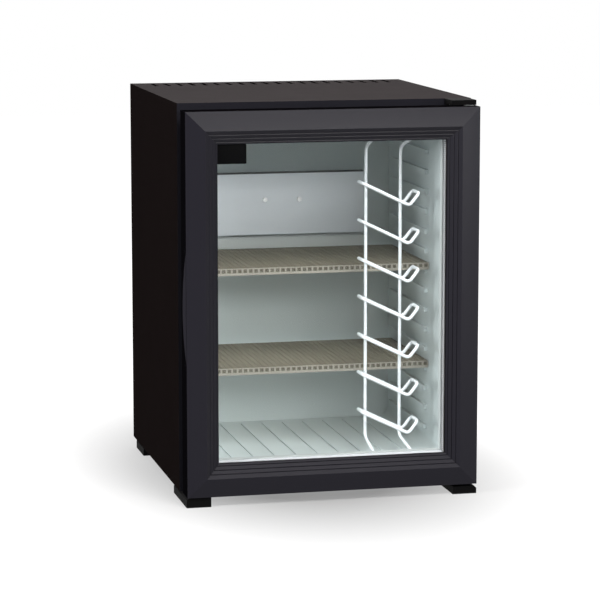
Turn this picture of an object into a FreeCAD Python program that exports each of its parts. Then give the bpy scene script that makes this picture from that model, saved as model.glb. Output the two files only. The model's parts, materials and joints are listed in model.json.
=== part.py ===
import FreeCAD, Part
import math
import os

os.makedirs("parts", exist_ok=True)

Vec = FreeCAD.Vector

# Clearances and the overrun shared by all cuts
overrun = 5.0
slip = 0.3
fit = 0.05

# Case: folded steel wrap, floor pan and back plate
case_width = 400.0
case_depth = 370.0
case_height = 518.1
sheet = 0.8
rear_return = 10.0
vent_pitch = 18.0
vent_margin = 28.0
vent_width = 5.5
vent_length = 45.0
vent_setback = 13.0
recess_depth = 64.0

# Liner: formed compartment, its walls measured from the outside of the case
side_wall = 38.0
roof_wall = 46.0
floor_wall = 33.5
liner_skin = 2.0
back_wall = 26.0
liner_corner = 14.0
liner_flange = 20.0
lip_show = 5.0
rib_pitch = 27.3
rib_height = 6.0
rib_proud = 5.0
rib_first = 20.9
rib_margin = 20.0
rib_setback = 70.0
rib_top_gap = 29.0
floor_rib_margin = 40.0
floor_rib_pitch = 30.0
floor_rib_width = 4.0
floor_rib_proud = 1.6

# Feet
foot_height = 10.4
foot_width = 33.0
foot_length = 95.0
foot_inset = 1.0
foot_chamfer = 3.0
foot_setback = 3.0
rear_foot_length = 60.0
rear_foot_setback = 20.0

# Door: outline, stack and mitred frame profile
door_side_gap = 1.6
door_top_gap = 7.6
door_lift = 0.9
door_stack = 50.0
face_width = 43.3
band_width = 25.3
ridge_rise = 6.0
bulge_share = 0.53
bevel_drop = 5.5
groove_shares = (0.3, 0.58, 0.86)
groove_width = 1.3
groove_depth = 0.6
glass_seat = 7.5
rebate = 31.5
frame_depth = 34.0
frame_wall = 1.8
front_skin = 2.4
key_inset = 16.0
key_front = 8.0
key_leg = 55.0

# Insulated glass unit
pane = 4.0
glass_gap = 12.0
glass_margin = 0.6
spacer_inset = 4.0
spacer_width = 7.6

# Inner frame, gasket and magnets behind the glass
inner_plate = 4.0
inner_edge = 3.0
inner_width = 44.3
tongue_width = 12.5
gasket_inset = 12.0
gasket_width = 18.0
gasket_base = 2.0
gasket_neck = 3.5
gasket_neck_inset = 3.0
gasket_bulb_inset = 1.0
magnet_cover = 1.6
magnet_inset = 4.0
magnet_width = 9.0

# Door pull on the opening edge
pull_rise = 176.2
pull_length = 152.0
pull_bulge = 4.7
pull_front = 1.0
pull_depth = 14.0
pull_scoop = 2.2
pull_peak_share = 0.56

# Hinges
hinge_inset = 9.9
hinge_setback = 24.0
hinge_plate = 2.5
hinge_reach = 7.0
hinge_width = 31.0
hinge_side_gap = 4.0
hinge_lift = 2.0
leg_drop = 11.0
cover_wall = 1.2
pin_radius = 3.0
pin_depth = 12.0
bush_wall = 2.0
bush_flange = 0.8
bush_flange_height = 0.8
bush_depth = 13.5
bottom_tail = 45.0
hinge_screw_inset = 7.0
leg_screw_drop = 8.0

# Screws: hexagon heads on round shanks
screw_head = 3.6
screw_head_height = 2.4
screw_shank = 1.9
screw_length = 12.0
head_sides = 6
shank_sides = 8
foot_screw_recess = 7.4
foot_screw_pocket = 5.0

# Bottle rack of coated wire
wire = 2.2
wire_sides = 6
wire_steps = 2
rack_inset = 88.4
upright_spacing = 48.0
upright_top_spreads = (2.6, 9.8)
upright_low_spreads = (4.6, 10.0)
upright_setback = 27.0
upright_low_inset = 56.2
upright_high_inset = 57.4
upright_rise = 16.0
upright_fall = 18.0
upright_bend = 12.0
wire_end = 9.0
cradle_lift = 9.5
cradle_head = 60.0
cradle_pitch = 51.7
cradle_left_reach = 60.0
cradle_dip_reach = 3.0
cradle_right_reach = 16.2
cradle_left_rise = 30.6
cradle_right_rise = 16.5
cradle_front = 10.0
cradle_bend = 7.0
clip_width = 12.0
clip_depth = 9.0
clip_inside = 3.0
clip_outside = 6.0

# Moulded grid shelves on the liner's ribs
shelf_ribs = (3, 8)
shelf_side_gap = 2.0
shelf_front = 60.0
shelf_back_gap = 24.0
shelf_plate = 3.0
shelf_rim = 9.5
shelf_rim_width = 3.0
shelf_slot_side = 18.0
shelf_slot_pitch = 14.6
shelf_slot_width = 10.6
shelf_slot_margin = 12.0
shelf_bar_count = 2
shelf_bar_width = 3.0

# Cold plate, its block, gutter, drain and sensor
plate_side_gap = 42.0
plate_drop = 76.0
plate_height = 89.0
plate_thick = 2.0
plate_fold = 8.0
plate_gap = 14.0
block_width = 80.0
block_drop = 14.0
block_height = 50.0
cold_screw_spacing = 50.0
gutter_overhang = 5.0
gutter_gap = 18.0
gutter_height = 14.0
gutter_depth = 24.0
gutter_wall = 1.5
drain_radius = 5.0
drain_bore = 3.5
drain_gap = 2.0
drain_bend = 9.0
drain_place = -60.0
sensor_inset = 25.0
sensor_width = 18.0
sensor_height = 32.0
sensor_depth = 9.0
sensor_chamfer = 2.0

# Absorption unit in the rear recess
unit_setback = 30.0
drum_sides = 24
boiler_inset = 60.0
boiler_radius = 27.0
boiler_lift = 49.1
boiler_height = 268.0
boiler_cone = 12.0
boiler_neck = 20.0
heater_offset = 10.0
heater_radius = 6.0
heater_length = 18.0
pipe = 7.0
pipe_sides = 12
pipe_steps = 3
condenser_drop = 53.0
condenser_gap = 35.0
unit_left_inset = 50.0
pipe_bend = 26.0
fin_pitch = 14.0
fin_margin = 16.0
fin_width = 46.0
fin_height = 52.0
fin_thick = 0.8
joint_offset = 50.0
absorber_pipe = 8.0
absorber_gap = 56.0
absorber_pitch = 42.0
absorber_lift = 72.0
absorber_head = 30.0
absorber_drop_inset = 54.0
vessel_radius = 23.0
vessel_lift = 75.1
vessel_inset = 28.0
vessel_end_gap = 2.0
vessel_dome = 8.0
return_offset = 15.0
return_lift = 25.1
return_radius = 6.0
return_bend = 18.0
bracket_thick = 1.5
bracket_flange = 14.0
bracket_margin = 6.0
condenser_bracket_insets = (46.0, 13.0)
absorber_bracket_insets = (38.0, 44.0)
strap_height = 18.0
strap_thick = 1.5
strap_lift = 138.0
strap_tab = 16.0
unit_screw_margin = 9.0

# Control box at the bottom of the recess
control_inset = 35.0
control_width = 98.0
control_height = 38.0
control_depth = 44.0
control_wall = 2.0
control_lid = 2.5
gland_radius = 8.0
gland_length = 14.0
gland_nut = 10.0
gland_nut_length = 5.0
gland_bore = 3.6

# Planes worked out from the sizes above
half_width = case_width / 2
overall_depth = case_depth + door_stack + ridge_rise
rear_y = overall_depth / 2
case_front = rear_y - case_depth
edge_y = case_front - door_stack
case_bottom = foot_height + hinge_plate
case_top = case_bottom + case_height
recess_front = rear_y - recess_depth
foam_back = recess_front - sheet
foam_front = case_front + sheet + liner_skin
liner_half = half_width - side_wall
liner_floor = case_bottom + floor_wall
liner_roof = case_top - roof_wall
liner_back = recess_front - back_wall
door_half = half_width - door_side_gap
door_low = case_bottom + door_lift
door_high = case_top - door_top_gap
door_height = door_high - door_low
frame_back = edge_y + frame_depth
inner_back = frame_back + inner_plate
axis_x = door_half - hinge_inset
axis_y = edge_y + hinge_setback
unit_y = recess_front + unit_setback
pull_low = door_low + pull_rise
pull_high = pull_low + pull_length
rack_x = door_half - rack_inset
upright_low = door_low + upright_low_inset
upright_high = door_high - upright_high_inset
cradle_low = upright_low + cradle_lift
plate_half = liner_half - plate_side_gap
plate_high = liner_roof - plate_drop
plate_low = plate_high - plate_height
block_high = plate_high - block_drop
block_low = block_high - block_height
gutter_low = plate_low - gutter_gap
boiler_place = half_width - boiler_inset
boiler_low = case_bottom + boiler_lift
boiler_high = boiler_low + boiler_height
strap_level = boiler_low + strap_lift
condenser_height = case_top - condenser_drop
condenser_start = boiler_place - condenser_gap
condenser_end = unit_left_inset - half_width
evaporator_height = (block_low + block_high) / 2
evaporator_joint = evaporator_height + joint_offset
absorber_joint = evaporator_height - joint_offset
absorber_right = boiler_place - absorber_gap
vessel_height = case_bottom + vessel_lift
vessel_left = vessel_inset - half_width
vessel_right = absorber_right - vessel_end_gap
absorber_low = vessel_height + absorber_lift
absorber_passes = 1 + int((absorber_joint - absorber_head - absorber_low) / absorber_pitch)
pass_high = absorber_low + (absorber_passes - 1) * absorber_pitch
absorber_drop = absorber_right - absorber_drop_inset
return_place = absorber_drop + return_offset
return_height = case_bottom + return_lift
condenser_brackets_at = (condenser_end + condenser_bracket_insets[0],
                         condenser_start - condenser_bracket_insets[1])
absorber_brackets_at = (condenser_end + absorber_bracket_insets[0],
                        absorber_right - absorber_bracket_insets[1])
control_left = control_inset - half_width


def box(x0, x1, y0, y1, z0, z1):
    return Part.makeBox(x1 - x0, y1 - y0, z1 - z0, Vec(x0, y0, z0))


def rod(radius, start, end):
    return Part.makeCylinder(radius, (end - start).Length, start, end - start)


def flat_face(corners):
    return Part.Face(Part.makePolygon(corners + corners[:1]))


def prism(corners, sweep):
    return flat_face(corners).extrude(sweep)


# How many of a pattern fit in a span
def count_in(span, pitch):
    return 1 + int(span / pitch)


def cut_all(shape, cutters):
    for cutter in cutters:
        shape = shape.cut(cutter)
    return shape


def fuse_all(shapes):
    return shapes[0].fuse(shapes[1:]).removeSplitter()


def save(name, shape):
    shape.exportStep("parts/" + name + ".step")


def save_group(name, solids):
    save(name, Part.makeCompound(solids))


# Points of a wire's or pipe's centre line, with each corner turned in a few short chords
def bent_path(points, bend, steps):
    path = [points[0]]
    for i in range(1, len(points) - 1):
        before = (points[i] - points[i - 1]).normalize()
        after = (points[i + 1] - points[i]).normalize()
        turn = before.getAngle(after)
        bend_in = points[i] - before * (bend * math.tan(turn / 2))
        side = before.cross(after).cross(before).normalize()
        for step in range(steps + 1):
            angle = turn * step / steps
            forward = before * (bend * math.sin(angle))
            point = bend_in + forward + side * (bend * (1 - math.cos(angle)))
            if (point - path[-1]).Length > fit:
                path.append(point)
    return path + [points[-1]]


# Corners of a regular polygon square to a direction
def ring_of(centre, lead, radius, sides):
    guide = Vec(0, 0, 1) if abs(lead.x) > abs(lead.z) else Vec(1, 0, 0)
    across = lead.cross(guide).normalize()
    other = lead.cross(across)
    ring = []
    for k in range(sides):
        angle = math.pi * (2 * k + 1) / sides
        ring.append(centre + across * (radius * math.cos(angle)) + other * (radius * math.sin(angle)))
    return ring


# Closed solid whose skin joins each ring of corners to the next
def skinned(rings):
    faces = [flat_face(rings[0])]
    for ring, following in zip(rings, rings[1:]):
        for k in range(len(ring)):
            n = (k + 1) % len(ring)
            faces.append(flat_face([ring[k], ring[n], following[n], following[k]]))
    faces.append(flat_face(rings[-1]))
    solid = Part.makeSolid(Part.makeShell(faces))
    if solid.Volume < 0:
        solid.reverse()
    return solid


# Rod of many flat sides along a path, mitred at every point
def mitred_rod(path, radius, sides):
    runs = [(path[i + 1] - path[i]).normalize() for i in range(len(path) - 1)]
    rings = [ring_of(path[0], runs[0], radius, sides)]
    for i in range(1, len(path)):
        run = runs[i - 1]
        normal = run if i == len(runs) else run + runs[i]
        following = []
        for corner in rings[-1]:
            travel = (path[i] - corner).dot(normal) / run.dot(normal)
            following.append(corner + run * travel)
        rings.append(following)
    return skinned(rings)


def level_rod(left, right, y, level, radius, sides):
    return mitred_rod([Vec(left, y, level), Vec(right, y, level)], radius, sides)


# Drum turned about a straight axis from distances along it and radii
def turned(base, lead, profile):
    return skinned([ring_of(base + lead * along, lead, radius, drum_sides) for along, radius in profile])


def pipe_run(points, bend, radius):
    return mitred_rod(bent_path(points, bend, pipe_steps), radius, pipe_sides)


def wire_run(points, bend, radius):
    return mitred_rod(bent_path(points, bend, wire_steps), radius, wire_sides)


# Screw whose head seats at a point and whose shank runs the way given
def screw(seat, way):
    head = mitred_rod([seat - way * screw_head_height, seat], screw_head, head_sides)
    shank = mitred_rod([seat, seat + way * screw_length], screw_shank, shank_sides)
    return head.fuse(shank).removeSplitter()


def screw_hole(seat, way):
    ends = [seat - way * overrun, seat + way * (screw_length + slip)]
    return mitred_rod(ends, screw_shank + fit, shank_sides)


# Places of the screws, each a head seat and a direction
def leg_screw_seats():
    level = door_high + hinge_lift + hinge_plate - leg_screw_drop
    left = half_width - hinge_side_gap - hinge_width + hinge_screw_inset
    right = half_width - hinge_side_gap - hinge_screw_inset
    face = case_front - hinge_plate
    return [(Vec(x, face, level), Vec(0, 1, 0)) for x in (left, right)]


def foot_screw_seats():
    seats = []
    front = case_front + bottom_tail / 2
    rear = rear_y - rear_foot_setback - rear_foot_length / 2
    middle = half_width - foot_inset - foot_width / 2
    for x, y in ((-middle, front), (middle, front), (-middle, rear), (middle, rear)):
        seats.append((Vec(x, y, foot_screw_recess), Vec(0, 0, 1)))
    return seats


def unit_screw_seats():
    seats = []
    face = recess_front + bracket_thick
    offset = bracket_thick / 2 + bracket_flange / 2
    upper = condenser_height - fin_height / 2
    for x in condenser_brackets_at:
        seats.append((Vec(x + offset, face, upper), Vec(0, -1, 0)))
    lower = (pass_high + absorber_low) / 2
    for x in absorber_brackets_at:
        seats.append((Vec(x + offset, face, lower), Vec(0, -1, 0)))
    tab = boiler_radius + strap_thick + strap_tab - unit_screw_margin
    for side in (-1, 1):
        seats.append((Vec(boiler_place + side * tab, recess_front + strap_thick, strap_level), Vec(0, -1, 0)))
    return seats


def cold_screw_seats():
    level = (block_low + block_high) / 2
    face = liner_back - plate_gap - plate_thick
    return [(Vec(side * cold_screw_spacing / 2, face, level), Vec(0, 1, 0)) for side in (-1, 1)]


def holes(seats):
    return [screw_hole(seat, way) for seat, way in seats]


def screws(seats):
    return [screw(seat, way) for seat, way in seats]


def block_window(margin):
    x = block_width / 2 + margin
    y0 = liner_back - plate_gap
    return box(-x, x, y0, unit_y, block_low - margin, block_high + margin)


def drain_path():
    start = liner_back - gutter_wall
    level = gutter_low + gutter_height / 2
    out = recess_front + drain_bend + drain_radius
    end = vessel_height + vessel_radius + drain_gap
    return [Vec(drain_place, start, level), Vec(drain_place, out, level), Vec(drain_place, out, end)]


def drain_hole():
    start = drain_path()[0]
    ends = [start - Vec(0, overrun, 0), Vec(start.x, recess_front + overrun, start.z)]
    return mitred_rod(ends, drain_radius + fit, pipe_sides)


def outer_case():
    shell = box(-half_width, half_width, case_front, rear_y, case_bottom, case_top)
    hollow = box(-half_width + sheet, half_width - sheet, case_front + sheet, rear_y - sheet,
                 case_bottom - overrun, case_top - sheet)
    mouth_half = liner_half + lip_show
    mouth = box(-mouth_half, mouth_half, case_front - overrun, case_front + overrun,
                case_bottom - overrun, liner_roof + lip_show)
    rear_half = half_width - rear_return
    rear = box(-rear_half, rear_half, rear_y - overrun, rear_y + overrun,
               case_bottom - overrun, case_top - rear_return)
    vents = []
    vent_count = count_in(case_width - 2 * vent_margin, vent_pitch)
    first = -vent_pitch * (vent_count - 1) / 2
    back = rear_y - vent_setback
    for k in range(vent_count):
        x = first + k * vent_pitch
        vents.append(box(x - vent_width / 2, x + vent_width / 2, back - vent_length, back,
                         case_top - overrun, case_top + overrun))
    return cut_all(shell, [hollow, mouth, rear] + vents + holes(leg_screw_seats()))


def base_pan():
    half = half_width - sheet
    floor = box(-half, half, case_front + sheet, rear_y - sheet, case_bottom, case_bottom + sheet)
    front_half = liner_half + lip_show
    front = box(-front_half, front_half, case_front, case_front + sheet, case_bottom, liner_floor - lip_show)
    rear_half = half_width - rear_return
    rear = box(-rear_half, rear_half, rear_y - sheet, rear_y, case_bottom, case_bottom + rear_return)
    return cut_all(fuse_all([floor, front, rear]), holes(foot_screw_seats()))


def back_plate():
    half = half_width - sheet
    plate = box(-half, half, foam_back, recess_front, case_bottom + sheet, case_top - sheet)
    return cut_all(plate, [block_window(slip), drain_hole()] + holes(unit_screw_seats()))


def liner_space(grow):
    x = liner_half + grow
    space = box(-x, x, case_front + sheet - overrun, liner_back + grow, liner_floor - grow, liner_roof + grow)
    edges = []
    for edge in space.Edges:
        run = edge.Vertexes[1].Point - edge.Vertexes[0].Point
        if abs(run.x) + abs(run.z) < slip:
            edges.append(edge)
    return space.makeFillet(liner_corner + grow, edges)


def rib_level(k):
    return liner_floor + rib_first + rib_height + k * rib_pitch


def inner_liner():
    front = case_front + sheet
    reach = liner_flange + liner_half
    low = liner_floor - liner_flange
    high = liner_roof + liner_flange
    flange = box(-reach, reach, front, front + liner_skin, low, high)
    ahead = box(-reach, reach, front - 2 * overrun, front, low, high)
    tub = liner_space(liner_skin).cut(ahead)
    shell = tub.fuse(flange).cut(liner_space(0))
    ribs = []
    start = front + rib_setback
    end = liner_back - rib_margin
    for k in range(count_in(liner_roof - rib_top_gap - rib_level(0), rib_pitch)):
        top = rib_level(k)
        for side in (-1, 1):
            wall = side * (liner_half + liner_skin / 2)
            tip = side * (liner_half - rib_proud)
            x0, x1 = min(wall, tip), max(wall, tip)
            ribs.append(box(x0, x1, start, end, top - rib_height, top))
    floor_rib_count = count_in(2 * (liner_half - floor_rib_margin), floor_rib_pitch)
    first = -floor_rib_pitch * (floor_rib_count - 1) / 2
    for k in range(floor_rib_count):
        x = first + k * floor_rib_pitch
        ribs.append(box(x - floor_rib_width / 2, x + floor_rib_width / 2, front + rib_margin, end,
                        liner_floor - liner_skin / 2, liner_floor + floor_rib_proud))
    return cut_all(shell.fuse(ribs).removeSplitter(), [block_window(slip), drain_hole()])


def insulation_foam():
    half = half_width - sheet
    block = box(-half, half, foam_front, foam_back, case_bottom + sheet, case_top - sheet)
    cutters = [liner_space(liner_skin), block_window(slip), drain_hole()]
    cutters += holes(leg_screw_seats()) + holes(foot_screw_seats()) + holes(unit_screw_seats())
    return cut_all(block, cutters)


def foot(side, y0, length, height):
    outer = half_width - foot_inset
    inner = outer - foot_width
    outline = [Vec(inner, y0, 0), Vec(outer, y0, 0), Vec(outer, y0, height - foot_chamfer),
               Vec(outer - foot_chamfer, y0, height), Vec(inner, y0, height)]
    body = prism(outline, Vec(0, length, 0))
    if side < 0:
        body = body.mirror(Vec(0, 0, 0), Vec(1, 0, 0))
    pockets = []
    for seat, way in foot_screw_seats():
        mouth = seat - way * (foot_screw_recess + overrun)
        pockets.append(mitred_rod([mouth, seat], foot_screw_pocket, shank_sides))
        pockets.append(screw_hole(seat, way))
    return cut_all(body, pockets)


def feet():
    front = edge_y + foot_setback
    rear = rear_y - rear_foot_setback - rear_foot_length
    save("front_foot_left", foot(-1, front, foot_length, case_bottom))
    save("front_foot_right", foot(1, front, foot_length, foot_height))
    save_group("rear_feet", [foot(side, rear, rear_foot_length, case_bottom) for side in (-1, 1)])
    save_group("foot_screws", screws(foot_screw_seats()))


def hinge_rod(radius, low, high):
    return rod(radius, Vec(axis_x, axis_y, low), Vec(axis_x, axis_y, high))


def pin_hole(low, high):
    return hinge_rod(pin_radius + fit, low, high)


def hinge_span():
    right = half_width - hinge_side_gap
    return right - hinge_width, right


def top_hinge():
    left, right = hinge_span()
    low = door_high + hinge_lift
    high = low + hinge_plate
    front = axis_y - hinge_reach
    plate = box(left, right, front, case_front, low, high)
    leg = box(left, right, case_front - hinge_plate, case_front, high - leg_drop - hinge_plate, high)
    cutters = [pin_hole(low - overrun, high + overrun)] + holes(leg_screw_seats())
    save("top_hinge_bracket", cut_all(fuse_all([plate, leg]), cutters))
    save("top_hinge_pin", hinge_rod(pin_radius, door_high - pin_depth, high))
    skirt = door_high + hinge_lift / 2
    gap = cover_wall + slip
    shell = box(left - gap, right + gap, front - gap, case_front, skirt, case_top)
    room = box(left - slip, right + slip, front - slip, case_front + overrun, skirt - overrun, high + slip)
    save("top_hinge_cover", shell.cut(room))


def bottom_hinge():
    left, right = hinge_span()
    plate = box(left, right, axis_y - hinge_reach, case_front + bottom_tail, foot_height, case_bottom)
    cutters = [pin_hole(foot_height - overrun, case_bottom + overrun)] + holes(foot_screw_seats())
    save("bottom_hinge_bracket", cut_all(plate, cutters))
    save("bottom_hinge_pin", hinge_rod(pin_radius, foot_height, door_low + pin_depth))


def bush_block(half, low, high):
    return box(axis_x - half, axis_x + half, axis_y - half, axis_y + half, low, high)


# Square flanged bush in the door, standing from a level in the direction given
def bush(level, flange_height, way):
    tip = level + way * bush_depth
    rim = level - way * flange_height
    half = pin_radius + bush_wall
    body = bush_block(half, min(level, tip), max(level, tip))
    flange = bush_block(half + bush_flange, min(level, rim), max(level, rim))
    return fuse_all([body, flange]).cut(pin_hole(min(tip, rim) - overrun, max(tip, rim) + overrun))


def bush_holes():
    half = pin_radius + bush_wall + fit
    return [bush_block(half, door_low - overrun, door_low + bush_depth),
            bush_block(half, door_high - bush_depth, door_high + overrun)]


def bevel_level(u):
    return -ridge_rise + (u - band_width) * (bevel_drop + ridge_rise) / (face_width - band_width)


# Section of the frame profile: u runs in from the outer edge, v back from the edge plane
def frame_section(place):
    along = Vec(face_width - band_width, bevel_drop + ridge_rise, 0).normalize()
    into = Vec(-along.y, along.x, 0)
    points = [(band_width, -ridge_rise)]
    for share in groove_shares:
        u = band_width + share * (face_width - band_width)
        middle = Vec(u, bevel_level(u), 0)
        for offset, depth in ((-groove_width / 2, 0), (0, groove_depth), (groove_width / 2, 0)):
            corner = middle + along * offset + into * depth
            points.append((corner.x, corner.y))
    points += [(face_width, bevel_drop), (face_width, glass_seat), (rebate, glass_seat)]
    points += [(rebate, frame_depth), (0, frame_depth), (0, 0)]
    corners = [place(u, v) for u, v in points]
    crown = place(band_width / 2, -ridge_rise * bulge_share)
    edges = [Part.LineSegment(corners[i], corners[i + 1]).toShape() for i in range(len(corners) - 1)]
    edges.append(Part.Arc(corners[-1], crown, corners[0]).toShape())
    inner = rebate - frame_wall
    rear = frame_depth - frame_wall
    room = [(frame_wall, front_skin), (band_width, front_skin - ridge_rise),
            (inner, bevel_level(inner) + front_skin), (inner, rear), (frame_wall, rear)]
    hollow = flat_face([place(u, v) for u, v in room])
    return Part.Face(Part.Wire(edges)).cut(hollow).Faces[0]


# Four lengths of profile, each cut back to the mitre planes
def door_frame():
    middle = (door_low + door_high) / 2
    half_height = door_height / 2
    sides = {
        "top": (Vec(0, 0, 1), Vec(1, 0, 0), half_height, door_half),
        "bottom": (Vec(0, 0, -1), Vec(1, 0, 0), half_height, door_half),
        "left": (Vec(-1, 0, 0), Vec(0, 0, 1), door_half, half_height),
        "right": (Vec(1, 0, 0), Vec(0, 0, 1), door_half, half_height),
    }
    centre = Vec(0, edge_y, middle)
    depth = face_width + overrun
    for name, (out, along, reach, half_run) in sides.items():
        start = centre - along * half_run

        def place(u, v):
            return start + out * (reach - u) + Vec(0, v, 0)

        bar = frame_section(place).extrude(along * (2 * half_run))
        front = centre - Vec(0, ridge_rise + overrun, 0)
        wedge = [front + out * reach - along * half_run, front + out * reach + along * half_run,
                 front + out * (reach - depth) + along * (half_run - depth),
                 front + out * (reach - depth) - along * (half_run - depth)]
        bar = bar.common(prism(wedge, Vec(0, ridge_rise + frame_depth + 2 * overrun, 0)))
        save("door_frame_" + name, cut_all(bar, bush_holes()))


def corner_keys():
    deep = rebate - frame_wall - slip
    y0 = edge_y + key_front
    y1 = frame_back - frame_wall - slip
    keys = []
    for x_side in (-1, 1):
        for z_side in (-1, 1):
            edge = door_high if z_side > 0 else door_low
            arms = []
            for x_in, z_in in ((key_leg, deep), (deep, key_leg)):
                xs = sorted((x_side * (door_half - key_inset), x_side * (door_half - x_in)))
                zs = sorted((edge - z_side * key_inset, edge - z_side * z_in))
                arms.append(box(xs[0], xs[1], y0, y1, zs[0], zs[1]))
            keys.append(fuse_all(arms))
    save_group("corner_keys", keys)


# Rectangular block and ring in the door's own inset and depth
def door_block(u, v0, v1):
    return box(-door_half + u, door_half - u, edge_y + v0, edge_y + v1, door_low + u, door_high - u)


def door_ring(u0, u1, v0, v1):
    return door_block(u0, v0, v1).cut(door_block(u1, v0 - overrun, v1 + overrun))


def glass_unit():
    edge = rebate + glass_margin
    gap_front = glass_seat + pane
    gap_back = gap_front + glass_gap
    save("outer_glass", door_block(edge, glass_seat, gap_front))
    save("inner_glass", door_block(edge, gap_back, gap_back + pane))
    spacer_edge = edge + spacer_inset
    save("glazing_spacer", door_ring(spacer_edge, spacer_edge + spacer_width, gap_front, gap_back))
    save("glazing_seal", door_ring(edge, spacer_edge, gap_front, gap_back))


def inner_door_frame():
    clamp = glass_seat + 2 * pane + glass_gap
    tongue_edge = rebate + slip
    tongue = door_ring(tongue_edge, tongue_edge + tongue_width, clamp, frame_depth)
    plate = door_ring(inner_edge, inner_width, frame_depth, frame_depth + inner_plate)
    save("inner_door_frame", fuse_all([tongue, plate]))


def door_gasket():
    inner = gasket_inset + gasket_width
    foot_v = frame_depth + inner_plate
    neck_v = foot_v + gasket_base
    bulb_v = neck_v + gasket_neck
    tip_v = door_stack - slip
    base = door_ring(gasket_inset, inner, foot_v, neck_v)
    neck = door_ring(gasket_inset + gasket_neck_inset, inner - gasket_neck_inset, neck_v, bulb_v)
    bulb = door_ring(gasket_inset + gasket_bulb_inset, inner - gasket_bulb_inset, bulb_v, tip_v)
    pocket_u = gasket_inset + magnet_inset
    pocket = door_ring(pocket_u, inner + overrun, bulb_v + magnet_cover, tip_v - magnet_cover)
    save("door_gasket", fuse_all([base, neck, bulb]).cut(pocket))
    u0 = pocket_u + fit
    u1 = u0 + magnet_width
    y0 = edge_y + bulb_v + magnet_cover + fit
    y1 = edge_y + tip_v - magnet_cover - fit
    strips = []
    for x_side in (-1, 1):
        xs = sorted((x_side * (door_half - u0), x_side * (door_half - u1)))
        strips.append(box(xs[0], xs[1], y0, y1, door_low + u0, door_high - u0))
    for z0, z1 in ((door_low + u0, door_low + u1), (door_high - u1, door_high - u0)):
        strips.append(box(-door_half + u1 + slip, door_half - u1 - slip, y0, y1, z0, z1))
    save_group("gasket_magnets", strips)


# Grip on the opening edge: an arched lip with a finger scoop behind it
def door_pull():
    y0 = edge_y + pull_front
    peak = pull_low + (pull_high - pull_low) * pull_peak_share
    low = Vec(-door_half, y0, pull_low)
    high = Vec(-door_half, y0, pull_high)
    crest = Vec(-door_half - pull_bulge, y0, peak)
    outline = Part.Wire([Part.Arc(low, crest, high).toShape(), Part.LineSegment(high, low).toShape()])
    lip = Part.Face(outline).extrude(Vec(0, pull_depth, 0))
    span = pull_depth - 2 * pull_scoop
    start = Vec(-door_half - span, y0 + pull_depth + pull_scoop, pull_low - overrun)
    scoop = rod(span, start, start + Vec(0, 0, pull_high - pull_low + 2 * overrun))
    save("door_pull", lip.cut(scoop))


def rack_ends(place, spreads):
    top = Vec(place + spreads[0], case_front - wire_end, upright_high + upright_rise)
    bottom = Vec(place + spreads[1], case_front - wire_end, upright_low - upright_fall)
    return top, bottom


def upright(place, spreads, radius):
    y = case_front + upright_setback
    top, bottom = rack_ends(place, spreads)
    points = [top, Vec(place, y, upright_high), Vec(place, y, upright_low), bottom]
    return wire_run(points, upright_bend, radius)


# One cradle: a closed loop made as its front half and the mirror of that half
def cradle(level):
    front = case_front - cradle_front
    back = case_front + upright_setback - 2 * wire - fit
    middle = (front + back) / 2
    left = Vec(rack_x - cradle_left_reach, front, level + cradle_left_rise)
    dip = Vec(rack_x + cradle_dip_reach, front, level)
    right = Vec(rack_x + cradle_right_reach, front, level + cradle_right_rise)
    points = [Vec(left.x, middle, left.z), left, dip, right, Vec(right.x, middle, right.z)]
    half = wire_run(points, cradle_bend, wire)
    return half.fuse(half.mirror(Vec(0, middle, 0), Vec(0, 1, 0))).removeSplitter()


def bottle_rack():
    places = (rack_x - upright_spacing, rack_x)
    wires = list(zip(places, zip(upright_top_spreads, upright_low_spreads)))
    save_group("rack_uprights", [upright(place, spreads, wire) for place, spreads in wires])
    cradle_count = count_in(upright_high - cradle_head - cradle_low, cradle_pitch)
    save_group("rack_cradles", [cradle(cradle_low + k * cradle_pitch) for k in range(cradle_count)])
    clips = []
    for place, spreads in wires:
        bore = upright(place, spreads, wire + fit)
        for end, way in zip(rack_ends(place, spreads), (1, -1)):
            left = end.x - clip_width / 2
            zs = sorted((end.z - way * clip_inside, end.z + way * clip_outside))
            block = box(left, left + clip_width, inner_back, inner_back + clip_depth, zs[0], zs[1])
            clips.append(block.cut(bore))
    save_group("rack_clips", clips)


def shelf(rib):
    half = liner_half - shelf_side_gap
    low = rib_level(rib) + slip
    top = low + shelf_rim
    y0 = case_front + shelf_front
    y1 = liner_back - shelf_back_gap
    body = box(-half, half, y0, y1, low, top)
    room = box(-half + shelf_rim_width, half - shelf_rim_width, y0 + shelf_rim_width, y1 - shelf_rim_width,
               low - overrun, top - shelf_plate)
    body = body.cut(room)
    slots = []
    shelf_slot_count = count_in(2 * (half - shelf_slot_side), shelf_slot_pitch)
    first = -shelf_slot_pitch * (shelf_slot_count - 1) / 2
    for k in range(shelf_slot_count):
        x = first + k * shelf_slot_pitch
        slots.append(box(x - shelf_slot_width / 2, x + shelf_slot_width / 2, y0 + shelf_slot_margin,
                         y1 - shelf_slot_margin, low - overrun, top + overrun))
    bars = []
    for k in range(shelf_bar_count):
        y = y0 + (y1 - y0) * (k + 1) / (shelf_bar_count + 1)
        bars.append(box(-half + shelf_rim_width, half - shelf_rim_width, y - shelf_bar_width / 2,
                        y + shelf_bar_width / 2, low, top - shelf_plate))
    return cut_all(body, slots).fuse(bars).removeSplitter()


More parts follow.
